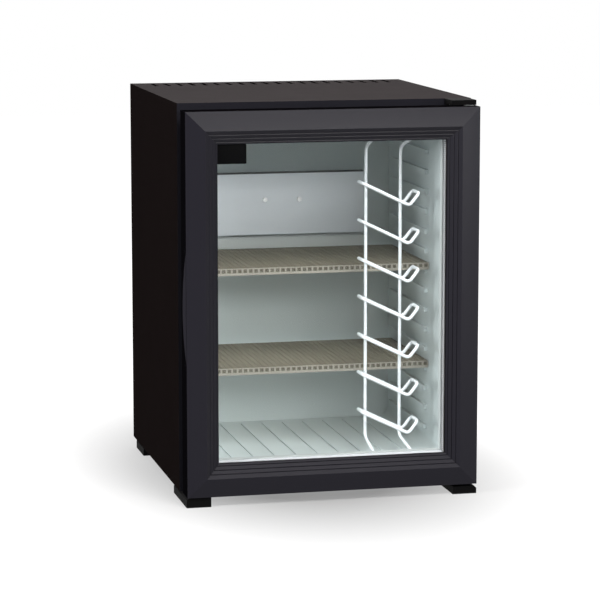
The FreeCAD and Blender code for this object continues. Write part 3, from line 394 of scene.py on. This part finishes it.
# Shelf plastic: partly clear moulding that lets light through
def clearPlastic(name, look):
    material, tree, shader = newMaterial(name)
    skin = useGroup(tree, grain, {
        "Stretch": evenStretch, "Scale": plasticGrain["scale"], "Depth": plasticGrain["depth"],
        "Rough": look["rough"], "Spread": plasticGrain["spread"]})
    feed(tree, shader.inputs["Base Color"],
         blendColor(tree, skin["Mottle"], opaque(look["color"]), opaque(look["streak"])))
    feed(tree, shader.inputs["Roughness"], skin["Roughness"])
    feed(tree, shader.inputs["Normal"], skin["Normal"])
    shader.inputs["Specular IOR Level"].default_value = look["shine"]
    glow = addNode(tree, "ShaderNodeBsdfTranslucent", values={"Color": opaque(look["through"])})
    both = addNode(tree, "ShaderNodeMixShader", values={0: look["share"]})
    feed(tree, both.inputs[1], shader.outputs[0])
    feed(tree, both.inputs[2], glow.outputs[0])
    clear = addNode(tree, "ShaderNodeBsdfTransparent", values={"Color": opaque(look["tint"])})
    seen = addNode(tree, "ShaderNodeMixShader", values={0: look["clear"]})
    feed(tree, seen.inputs[1], both.outputs[0])
    feed(tree, seen.inputs[2], clear.outputs[0])
    feed(tree, tree.nodes["Material Output"].inputs["Surface"], seen.outputs[0])
    return material


deckLook = {"color": (0.45, 0.41, 0.335), "streak": (0.38, 0.345, 0.285), "through": (0.52, 0.475, 0.395),
            "share": 0.4, "tint": (0.93, 0.915, 0.87), "clear": 0.55, "rough": 0.6, "shine": 0.02}
deckMaterial = clearPlastic("shelfDeck", deckLook)
# The lip is painted paler, a painted glow for the light that it gathers
lipLook = {"color": (0.62, 0.575, 0.51), "streak": (0.56, 0.52, 0.46), "through": (0.58, 0.54, 0.48),
           "share": 0.3, "tint": (0.93, 0.915, 0.87), "clear": 0.25, "rough": 0.4, "shine": 0.1}
lipMaterial = clearPlastic("shelfLip", lipLook)

wireCoat = {"color": (0.88, 0.90, 0.94), "rough": 0.3, "spread": 0.12, "scale": 900.0, "depth": 0.03,
            "deep": 0.94, "edge": (0.92, 0.93, 0.96), "edgeWearAndHighlight": 0.2, "radius": 0.0003, "dust": 0.0}
wireMaterial = finished("wireCoat", wireCoat)

plateFilm = {"color": (0.0016, 0.0016, 0.0018), "rough": 0.7, "spread": 0.1, "scale": 600.0, "depth": 0.01,
             "edge": (0.008, 0.008, 0.008), "edgeWearAndHighlight": 0.2, "radius": 0.0002, "dust": 0.0, "shine": 0.03}
plateMaterial = finished("plateFilm", plateFilm)
print("special finishes made")


def chooseOnly(*chosen):
    bpy.ops.object.select_all(action="DESELECT")
    for piece in chosen:
        piece.select_set(True)
    bpy.context.view_layer.objects.active = chosen[0]


def coat(piece, material):
    piece.data.materials.clear()
    piece.data.materials.append(material)


# Copy with its own mesh, moved up or down
def copyAt(piece, lift):
    chooseOnly(piece)
    bpy.ops.object.duplicate(linked=False)
    bpy.ops.transform.translate(value=(0.0, 0.0, lift))
    return bpy.context.object


smoothAngle = 32  # degrees


# Last steps for a piece: its place goes into its mesh, and it gets its name, finish and body
def settle(piece, name, material, body, replaced):
    chooseOnly(piece)
    bpy.ops.object.transform_apply(location=True, rotation=True, scale=True)
    bpy.ops.object.shade_smooth_by_angle(angle=math.radians(smoothAngle))
    piece.name = name
    if material:  # a piece of two finishes has them already
        coat(piece, material)
    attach(piece, body)
    if replaced:
        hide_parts(*replaced)


def applyModifier(piece, kind, settings):
    chooseOnly(piece)
    modifier = piece.modifiers.new(kind.lower(), kind)
    for key, value in settings.items():
        setattr(modifier, key, value)
    bpy.ops.object.modifier_apply(modifier=modifier.name)


# Lattice of square cells in a rectangle, thickened to a plate
def lattice(columns, rows, centre, size, turn, wall, thickness):
    bpy.ops.mesh.primitive_grid_add(x_subdivisions=columns, y_subdivisions=rows, size=1.0, location=centre,
                                    rotation=(turn, 0, 0))
    piece = bpy.context.object
    piece.scale = (size[0], size[1], 1.0)
    chooseOnly(piece)
    bpy.ops.object.transform_apply(location=True, rotation=True, scale=True)
    bpy.ops.object.mode_set(mode="EDIT")
    bpy.ops.mesh.select_all(action="SELECT")
    bpy.ops.mesh.inset(thickness=wall / 2, depth=0.0, use_individual=True)
    bpy.ops.mesh.delete(type="FACE")
    bpy.ops.object.mode_set(mode="OBJECT")
    applyModifier(piece, "SOLIDIFY", {"thickness": thickness, "offset": 0.0})
    return piece


# Upright wall round a rectangle, open at the front
def openRim(low, high, wall, bottom, top):
    centre = ((low[0] + high[0]) / 2, (low[1] + high[1]) / 2, bottom)
    bpy.ops.mesh.primitive_plane_add(size=1.0, location=centre)
    piece = bpy.context.object
    piece.scale = (high[0] - low[0], high[1] - low[1], 1.0)
    chooseOnly(piece)
    bpy.ops.object.transform_apply(location=True, rotation=True, scale=True)
    bpy.ops.object.mode_set(mode="EDIT")
    bpy.ops.mesh.select_all(action="SELECT")
    bpy.ops.mesh.delete(type="ONLY_FACE")
    bpy.ops.object.mode_set(mode="OBJECT")
    for edge in piece.data.edges:
        ends = [piece.data.vertices[index].co.y for index in edge.vertices]
        edge.select = max(ends) < centre[1]
    bpy.ops.object.mode_set(mode="EDIT")
    bpy.ops.mesh.select_mode(type="EDGE")
    bpy.ops.mesh.delete(type="EDGE")
    bpy.ops.mesh.select_all(action="SELECT")
    bpy.ops.mesh.extrude_region_move(TRANSFORM_OT_translate={"value": (0.0, 0.0, top - bottom)})
    bpy.ops.mesh.select_all(action="SELECT")
    bpy.ops.mesh.normals_make_consistent(inside=False)
    bpy.ops.object.mode_set(mode="OBJECT")
    applyModifier(piece, "SOLIDIFY", {"thickness": wall, "offset": -1.0, "use_even_offset": True})
    return piece


barSteps = 3  # of the softened edges of a front bar


# Flat bar across the front with softened edges
def frontBar(half, front, depth, bottom, top, softness):
    bpy.ops.mesh.primitive_cube_add(size=1.0, location=(0.0, front + depth / 2, (bottom + top) / 2))
    piece = bpy.context.object
    piece.scale = (2 * half, depth, top - bottom)
    chooseOnly(piece)
    bpy.ops.object.transform_apply(location=True, rotation=True, scale=True)
    applyModifier(piece, "BEVEL", {"width": softness, "segments": barSteps, "limit_method": "ANGLE"})
    return piece


shelfForm = {"columns": 43, "rows": 26, "wall": 0.0016, "plate": 0.003, "rimWall": 0.0025, "lip": 0.0016,
             "lipWall": 0.0024, "band": 0.0021, "soft": 0.0005, "shadeGap": 0.002}


# Grid deck with a rim round three sides, and a front lip of windows over a band, shaded by a bar behind it
def modelShelf(low, high):
    form = shelfForm
    half, front, back, top = high[0], low[1], high[1], high[2]
    lipBack = front + form["lip"]
    inside = (2 * (half - form["rimWall"]), back - lipBack - form["rimWall"])
    middle = (0.0, (lipBack + back - form["rimWall"]) / 2, top - form["plate"] / 2)
    deck = lattice(form["columns"], form["rows"], middle, inside, 0.0, form["wall"], form["plate"])
    rim = openRim((-half, lipBack), (half, back), form["rimWall"], low[2], top)
    bandTop = low[2] + form["band"]
    lip = lattice(form["columns"], 1, (0.0, front + form["lip"] / 2, (bandTop + top) / 2),
                  (2 * half, top - bandTop), math.pi / 2, form["lipWall"], form["lip"])
    band = frontBar(half, front, form["lip"], low[2], bandTop, form["soft"])
    shade = frontBar(half - form["rimWall"], lipBack + form["shadeGap"], form["rimWall"], bandTop,
                     top - form["plate"], form["soft"])
    for piece in (deck, rim, shade):
        coat(piece, deckMaterial)
    for piece in (lip, band):
        coat(piece, lipMaterial)
    chooseOnly(deck, rim, shade, lip, band)
    bpy.ops.object.join()
    return bpy.context.object


upperLow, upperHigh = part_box("upper_shelf")
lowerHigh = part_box("lower_shelf")[1]
upperGrid = modelShelf(upperLow, upperHigh)
lowerGrid = copyAt(upperGrid, lowerHigh[2] - upperHigh[2])
settle(upperGrid, "upperShelfGrid", None, "upper_shelf", ["upper_shelf"])
settle(lowerGrid, "lowerShelfGrid", None, "lower_shelf", ["lower_shelf"])
print("shelves built")


# Centre line with each corner turned in short steps
def bentLine(points, bend, closed=False, steps=8):
    corners = [Vector(point) for point in points]
    count = len(corners)
    line = [] if closed else [corners[0]]
    turns = range(count) if closed else range(1, count - 1)
    for index in turns:
        here = corners[index]
        before = (here - corners[index - 1]).normalized()
        after = (corners[(index + 1) % count] - here).normalized()
        angle = before.angle(after)
        side = before.cross(after).cross(before).normalized()
        start = here - before * (bend * math.tan(angle / 2))
        for step in range(steps + 1):
            part = angle * step / steps
            line.append(start + before * (bend * math.sin(part)) + side * (bend * (1 - math.cos(part))))
    return line if closed else line + [corners[-1]]


runSteps = 5  # of the round section of a wire or pipe


# Round wires or pipes along their centre lines, as one piece
def roundRun(lines, radius, closed=False):
    bpy.ops.curve.primitive_bezier_curve_add()
    piece = bpy.context.object
    curve = piece.data
    curve.splines.clear()
    curve.dimensions = "3D"
    curve.bevel_depth = radius
    curve.bevel_resolution = runSteps
    curve.use_fill_caps = True
    for line in lines:
        spline = curve.splines.new("POLY")
        spline.points.add(len(line) - 1)
        for point, spot in zip(spline.points, line):
            point.co = (spot.x, spot.y, spot.z, 1.0)
        spline.use_cyclic_u = closed
    chooseOnly(piece)
    bpy.ops.object.convert(target="MESH")
    return bpy.context.object


# Each upright: its place across, and how far its upper and lower ends lean to the right
rackForm = {"radius": 0.0022, "uprights": ((0.062, 0.0026, 0.0046), (0.110, 0.0098, 0.0100)),
            "endDepth": -0.166, "depth": -0.130, "high": 0.466, "low": 0.070, "rise": 0.016, "fall": 0.018,
            "bend": 0.012, "first": 0.0795, "pitch": 0.0517, "count": 7, "front": -0.167, "rear": -0.13445,
            "left": 0.050, "dip": 0.113, "right": 0.1262, "leftRise": 0.0306, "rightRise": 0.0165,
            "cradleBend": 0.006}


def buildRack():
    form = rackForm
    lines = []
    for x, topSpread, lowSpread in form["uprights"]:
        lines.append(bentLine([(x + topSpread, form["endDepth"], form["high"] + form["rise"]),
                               (x, form["depth"], form["high"]), (x, form["depth"], form["low"]),
                               (x + lowSpread, form["endDepth"], form["low"] - form["fall"])], form["bend"]))
    uprights = roundRun(lines, form["radius"])
    settle(uprights, "rackUprightWires", wireMaterial, "door", ["rack_uprights"])
    level = form["first"]
    spots = [(form["left"], level + form["leftRise"]), (form["dip"], level),
             (form["right"], level + form["rightRise"])]
    ahead = [(x, form["front"], z) for x, z in spots]
    behind = [(x, form["rear"], z) for x, z in reversed(spots)]
    loop = roundRun([bentLine(ahead + behind, form["cradleBend"], closed=True)], form["radius"], closed=True)
    loops = [loop] + [copyAt(loop, index * form["pitch"]) for index in range(1, form["count"])]
    chooseOnly(*loops)
    bpy.ops.object.join()
    settle(bpy.context.object, "rackCradleWires", wireMaterial, "door", ["rack_cradles"])


buildRack()
print("door rack built")

# Cooling unit: radius and bend of its pipes, and their routes across and up
unitForm = {"depth": 0.179, "pipe": 0.007, "pipeBend": 0.026, "coil": 0.008, "coilBend": 0.021, "return": 0.006,
            "returnBend": 0.018,
            "vapour": ((0.140, 0.330), (0.140, 0.478), (0.105, 0.478)),
            "condenser": ((0.105, 0.478), (-0.150, 0.478), (-0.150, 0.420)),
            "evaporator": ((-0.150, 0.420), (-0.150, 0.370), (0.084, 0.370), (0.084, 0.320)),
            "absorber": ((0.084, 0.320), (0.084, 0.286), (-0.150, 0.286), (-0.150, 0.244), (0.084, 0.244),
                         (0.084, 0.202), (-0.150, 0.202), (-0.150, 0.160), (0.030, 0.160), (0.030, 0.1105)),
            "back": ((0.045, 0.0655), (0.045, 0.038), (0.130, 0.038), (0.130, 0.062))}


def buildPipe(name, route, radius, bend, node):
    line = bentLine([(x, unitForm["depth"], z) for x, z in route], bend)
    settle(roundRun([line], radius), name, unitMaterial, "cabinet", [node])


buildPipe("vapourTube", unitForm["vapour"], unitForm["pipe"], unitForm["pipeBend"], "vapour_pipe")
buildPipe("condenserTube", unitForm["condenser"], unitForm["pipe"], unitForm["pipeBend"], "condenser_pipe")
buildPipe("evaporatorTube", unitForm["evaporator"], unitForm["pipe"], unitForm["pipeBend"], "evaporator_pipe")
buildPipe("absorberTube", unitForm["absorber"], unitForm["coil"], unitForm["coilBend"], "absorber_coil")
buildPipe("returnTube", unitForm["back"], unitForm["return"], unitForm["returnBend"], "return_pipe")

vesselForm = {"centre": (-0.045, 0.179, 0.088), "radius": 0.023, "length": 0.254,
              "turn": (0.0, math.pi / 2, 0.0), "round": 0.008, "sides": 64, "steps": 5}
casingForm = {"centre": (0.140, 0.179, 0.196), "radius": 0.027, "length": 0.268, "turn": (0.0, 0.0, 0.0),
              "round": 0.007, "sides": 64, "steps": 5}


# Drum with rounded ends
def buildDrum(name, form, material, node):
    bpy.ops.mesh.primitive_cylinder_add(vertices=form["sides"], radius=form["radius"], depth=form["length"],
                                        location=form["centre"], rotation=form["turn"])
    piece = bpy.context.object
    applyModifier(piece, "BEVEL", {"width": form["round"], "segments": form["steps"], "limit_method": "ANGLE"})
    settle(piece, name, material, "cabinet", [node])


buildDrum("vesselDrum", vesselForm, unitMaterial, "absorber_vessel")
buildDrum("casingDrum", casingForm, boilerMaterial, "boiler_casing")
print("cooling unit built")

# Thin bare plate in the upper left corner of the glass: corners rounded, then all edges softened
plateForm = {"low": (-0.1550, -0.1998, 0.4542), "high": (-0.1165, -0.1995, 0.4800), "round": 0.0012,
             "roundSteps": 5, "soft": 0.0001, "softSteps": 2, "thin": 0.0001}
centre = [(low + high) / 2 for low, high in zip(plateForm["low"], plateForm["high"])]
bpy.ops.mesh.primitive_cube_add(size=1.0, location=centre)
plate = bpy.context.object
plate.scale = [high - low for low, high in zip(plateForm["low"], plateForm["high"])]
chooseOnly(plate)
bpy.ops.object.transform_apply(location=True, rotation=True, scale=True)
for edge in plate.data.edges:
    ends = [plate.data.vertices[index].co for index in edge.vertices]
    edge.select = abs(ends[0].y - ends[1].y) > plateForm["thin"]
bpy.ops.object.mode_set(mode="EDIT")
bpy.ops.mesh.select_mode(type="EDGE")
bpy.ops.mesh.bevel(offset=plateForm["round"], segments=plateForm["roundSteps"])
bpy.ops.object.mode_set(mode="OBJECT")
applyModifier(plate, "BEVEL", {"width": plateForm["soft"], "segments": plateForm["softSteps"],
                               "limit_method": "ANGLE"})
settle(plate, "barePlate", plateMaterial, "door", [])
print("bare plate built")


# Rays that see the stage: from the camera, off gloss and through glass
def seenRays(tree):
    rays = addNode(tree, "ShaderNodeLightPath").outputs
    return calc(tree, "MAXIMUM", rays["Is Camera Ray"],
                calc(tree, "MAXIMUM", rays["Is Glossy Ray"], rays["Is Transmission Ray"]))


# Floor: white to the camera away from the object; near it the floor's glow is painted lower, a painted shade
# round the object, in which its cast shadow also shows
floorLook = {"size": 12.0, "drop": 0.0003, "color": (0.20, 0.20, 0.20), "lift": 0.27, "near": 0.20, "far": 0.58,
             "narrow": (1.55, 1.0, 1.0)}
bpy.ops.mesh.primitive_plane_add(size=floorLook["size"], location=(0.0, 0.0, -floorLook["drop"]))
floor = bpy.context.object
floor.name = "studioFloor"
chooseOnly(floor)
bpy.ops.object.transform_apply(location=True, rotation=True, scale=True)
floorMaterial, tree, shader = newMaterial("studioFloor")
tree.nodes.remove(shader)
matte = addNode(tree, "ShaderNodeBsdfDiffuse", values={"Color": opaque(floorLook["color"])})
# The glow falls off towards the object, over a shorter reach sideways: painted shade round it
distance = addNode(tree, "ShaderNodeVectorMath", {"operation": "LENGTH"})
narrowed = addNode(tree, "ShaderNodeMapping", values={"Scale": floorLook["narrow"]})
feed(tree, narrowed.inputs["Vector"], addNode(tree, "ShaderNodeTexCoord").outputs["Object"])
feed(tree, distance.inputs[0], narrowed.outputs[0])
fade = addNode(tree, "ShaderNodeMapRange", {"interpolation_type": "LINEAR"},
               {"From Min": floorLook["near"], "From Max": floorLook["far"], "To Min": floorLook["lift"],
                "To Max": 1.0})
feed(tree, fade.inputs["Value"], distance.outputs["Value"])
white = addNode(tree, "ShaderNodeEmission")
glossy = addNode(tree, "ShaderNodeLightPath").outputs["Is Glossy Ray"]
shown = calc(tree, "MULTIPLY", fade.outputs[0], seenRays(tree))
feed(tree, white.inputs["Strength"], calc(tree, "MAXIMUM", shown, glossy))
together = addNode(tree, "ShaderNodeAddShader")
feed(tree, together.inputs[0], matte.outputs[0])
feed(tree, together.inputs[1], white.outputs[0])
feed(tree, tree.nodes["Material Output"].inputs["Surface"], together.outputs[0])
floor.data.materials.append(floorMaterial)

# Studio: white to the camera, a dimmer room for everything else
roomLook = {"low": (0.05, 0.05, 0.053), "high": (0.14, 0.14, 0.145)}
world = bpy.data.worlds.new("studioRoom")
bpy.context.scene.world = world
world.use_nodes = True
tree = world.node_tree
ambient = tree.nodes["Background"]
upness = addNode(tree, "ShaderNodeSeparateXYZ")
feed(tree, upness.inputs[0], addNode(tree, "ShaderNodeTexCoord").outputs["Generated"])
feed(tree, ambient.inputs["Color"],
     blendColor(tree, upness.outputs["Z"], opaque(roomLook["low"]), opaque(roomLook["high"])))
backdrop = addNode(tree, "ShaderNodeBackground", values={"Color": (1.0, 1.0, 1.0, 1.0)})
choice = addNode(tree, "ShaderNodeMixShader")
feed(tree, choice.inputs[0], seenRays(tree))
feed(tree, choice.inputs[1], ambient.outputs[0])
feed(tree, choice.inputs[2], backdrop.outputs[0])
feed(tree, tree.nodes["World Output"].inputs["Surface"], choice.outputs[0])


def softbox(name, spec):
    bpy.ops.object.light_add(type="AREA", location=spec["place"])
    lamp = bpy.context.object
    lamp.name = name
    lamp.data.shape = "RECTANGLE"
    lamp.data.size, lamp.data.size_y = spec["size"]
    lamp.data.energy = spec["power"]
    lamp.data.color = spec["color"]
    lamp.rotation_euler = (Vector(spec["aim"]) - Vector(spec["place"])).to_track_quat("-Z", "Y").to_euler()


objectMiddle = (0.0, -0.1, 0.3)
keyBox = {"place": (0.66, -2.90, 1.16), "aim": objectMiddle, "size": (1.3, 0.45), "power": 30.0,
          "color": (1.0, 0.99, 0.98)}
softbox("keyBox", keyBox)
rightBox = {"place": (1.92, -2.40, 0.57), "aim": objectMiddle, "size": (0.5, 0.9), "power": 20.0,
            "color": (0.97, 0.97, 1.0)}
softbox("rightBox", rightBox)
topBox = {"place": (0.30, -1.95, 2.45), "aim": objectMiddle, "size": (1.2, 1.2), "power": 80.0,
          "color": (1.0, 0.985, 0.97)}
softbox("topBox", topBox)
leftBox = {"place": (-2.75, -1.15, 0.95), "aim": objectMiddle, "size": (1.1, 1.1), "power": 88.0,
           "color": (1.0, 1.0, 1.0)}
softbox("leftBox", leftBox)
rearBox = {"place": (0.2, 2.6, 1.7), "aim": (0.0, 0.0, 0.5), "size": (2.6, 1.2), "power": 36.0,
           "color": (1.0, 0.97, 0.96)}
softbox("rearBox", rearBox)

cameraLook = {"place": (-0.8218, -3.5421, 0.8024), "turn": (81.215, 0.0, -13.088), "lens": 158.07,
              "sensor": 36.0}
bpy.ops.object.camera_add(location=cameraLook["place"],
                          rotation=[math.radians(angle) for angle in cameraLook["turn"]])
camera = bpy.context.object
camera.data.lens = cameraLook["lens"]
camera.data.sensor_width = cameraLook["sensor"]
bpy.context.scene.camera = camera
bpy.context.scene.view_settings.view_transform = "Standard"
print("stage set")
